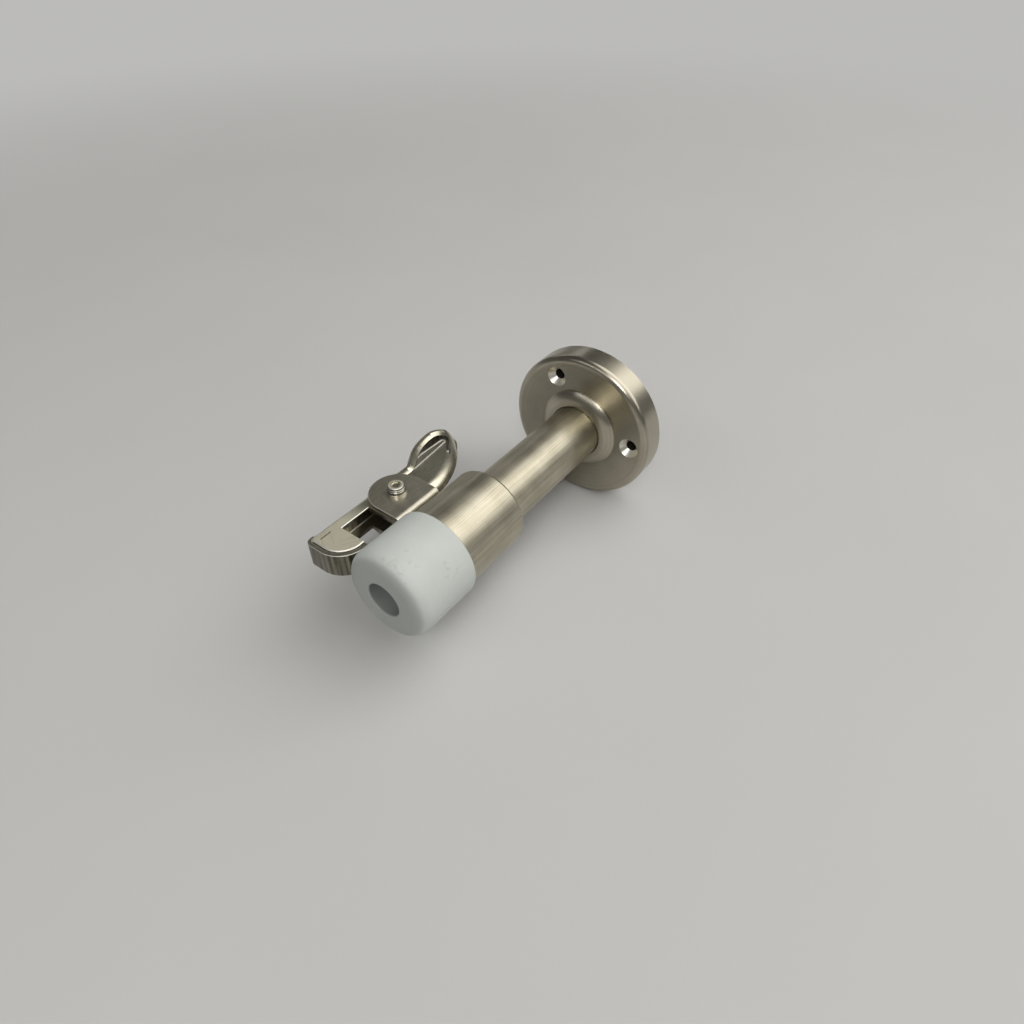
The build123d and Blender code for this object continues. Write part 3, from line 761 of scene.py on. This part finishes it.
colour_over(tree, shader, math_node(tree, "MULTIPLY", dish, pits), colour=(0.16, 0.145, 0.09))
# Painted shade: the grooves' near-black colour stands in for the shadow in them.
finish_over(tree, shader, groove, colour=(0.06, 0.055, 0.045), roughness=0.7)
print("pin rings about x, y in mm:", round(pin_x / MM, 2), round(pin_y / MM, 2))

# %% [markdown]
# ### Its shape
# The pin's edges were turned, not tumbled, so they are rounded only a little.
# The washer under its head is plain and keeps its CAD mesh.

# %% Pin
PIN_ROUND = 0.06
pin_piece = welded_copy("pivot_pin", "pin_soft")
soften(pin_piece, PIN_ROUND)
stand_for(pin_piece, "pivot_pin", "stop", pin_steel)
wear("pin_washer", pin_steel)

# %% [markdown]
# ## The spring
# A thin leaf in the hook's tail pushes the hook back. It is bright strip with
# rolled edges, so it gets the widest rounding for its thickness, and a rough,
# pale steel that shows as one light line in the tail's slot.

# %% Spring
SPRING_ROUND = 0.22
spring_steel = steel(
    "spring_bright", dark=(0.62, 0.60, 0.54), light=(0.80, 0.78, 0.71),
    gloss=(0.44, 0.60), grain=(700, 700, 4000), bump=0.12, edge=0.2)[0]
spring_piece = welded_copy("return_spring", "spring_soft")
soften(spring_piece, SPRING_ROUND)
stand_for(spring_piece, "return_spring", "hook", spring_steel)

# %% [markdown]
# ## Screw and plug
# The screw and washer that hold the buffer are plain zinc plate, deep in its
# hole. The plug they screw into is turned steel inside the stem. They hardly
# show, so the common steel with other tints is enough.

# %% Screw and plug
screw_steel = steel(
    "screw_zinc", dark=(0.38, 0.37, 0.34), light=(0.52, 0.51, 0.47),
    gloss=(0.28, 0.46), grain=(1500, 1500, 1500), bump=0.2, edge=0.2)[0]
wear("bumper_screw", screw_steel)
wear("bumper_washer", screw_steel)
plug_steel = steel(
    "plug_turned", dark=(0.30, 0.29, 0.26), light=(0.42, 0.41, 0.37),
    gloss=(0.34, 0.52), grain=(6500, 1, 1), bump=0.3, rings=True)[0]
wear("stem_plug", plug_steel)

# %% [markdown]
# ## The rubber
# The buffer is moulded grey rubber with a cool, slightly green cast. It is
# matt, a little uneven, and has faint scuffs where the door has met it. The
# scuffs could be a picture wrapped round it. Here one noise draws them and a
# slower one says where they are, so they gather in patches.

# %% Rubber
PORE_SHARE, SCUFF_SHARE, PATCH_RANGE = 0.3, 0.45, (0.46, 0.62)
ROUGH_LOW, ROUGH_SPAN = 0.44, 0.22
SKIN_BUMP, SKIN_DEPTH = 0.18, 0.03 * MM
rubber, tree, shader = new_finish("buffer_rubber")
where = object_place(tree)
cloud = noise_node(tree, where, 120.0, 5.0)
pores = noise_node(tree, where, 2600.0, 3.0)
colour = ramp_node(tree, weigh(tree, cloud, pores, PORE_SHARE),
                   (0.30, (0.545, 0.580, 0.547)), (0.70, (0.605, 0.640, 0.607)))
scuffs = noise_node(tree, where, 1.0, 6.0, (1100, 500, 1100))
patches = fade(tree, noise_node(tree, where, 60.0), *PATCH_RANGE)
marks = ramp_node(tree, math_node(tree, "MULTIPLY", scuffs, patches),
                  (0.51, (1, 1, 1)), (0.62, (0.78, 0.78, 0.76)))
stained = mix_node(tree, "MULTIPLY", SCUFF_SHARE, colour, marks)
tree.links.new(stained, shader.inputs["Base Color"])
rough = math_node(tree, "ADD", math_node(tree, "MULTIPLY", cloud, ROUGH_SPAN), ROUGH_LOW)
tree.links.new(rough, shader.inputs["Roughness"])
emboss(tree, shader, pores, SKIN_BUMP, SKIN_DEPTH)
wear("rubber_bumper", rubber)

# %% [markdown]
# ### Its face and hole
# The front face is painted darker, as painted shade, and its hole darker
# still, as painted shade in the recess. The face is found by the way it looks,
# along -Y, and the hole by its distance from the axis.

# %% Rubber painted shade
FRONT_SHADE_TINT, FRONT_SHADE_SHARE, FACING = (0.37, 0.393, 0.37), 0.9, (-0.50, -0.92)
HOLE_SHADE_TINT, HOLE_SHADE_SHARE = (0.20, 0.212, 0.20), 0.85
HOLE_RIM = (5.95 * MM, 5.62 * MM)
front = split_node(tree, surface_normal(tree))[1]
front_shade = math_node(tree, "MULTIPLY", fade(tree, front, *FACING), FRONT_SHADE_SHARE)
# Painted shade on the front face, chosen by the way the surface faces.
colour_over(tree, shader, front_shade, FRONT_SHADE_TINT)
reach = distance_node(tree, where, keep=(1, 0, 1))
shaded_bore = fade(tree, reach, *HOLE_RIM)
# Painted shade in the hole: darker within the rim.
colour_over(tree, shader, math_node(tree, "MULTIPLY", shaded_bore, HOLE_SHADE_SHARE), HOLE_SHADE_TINT)
print("painted_shade in the hole within", round(HOLE_RIM[0] / MM, 2), "mm of the axis")
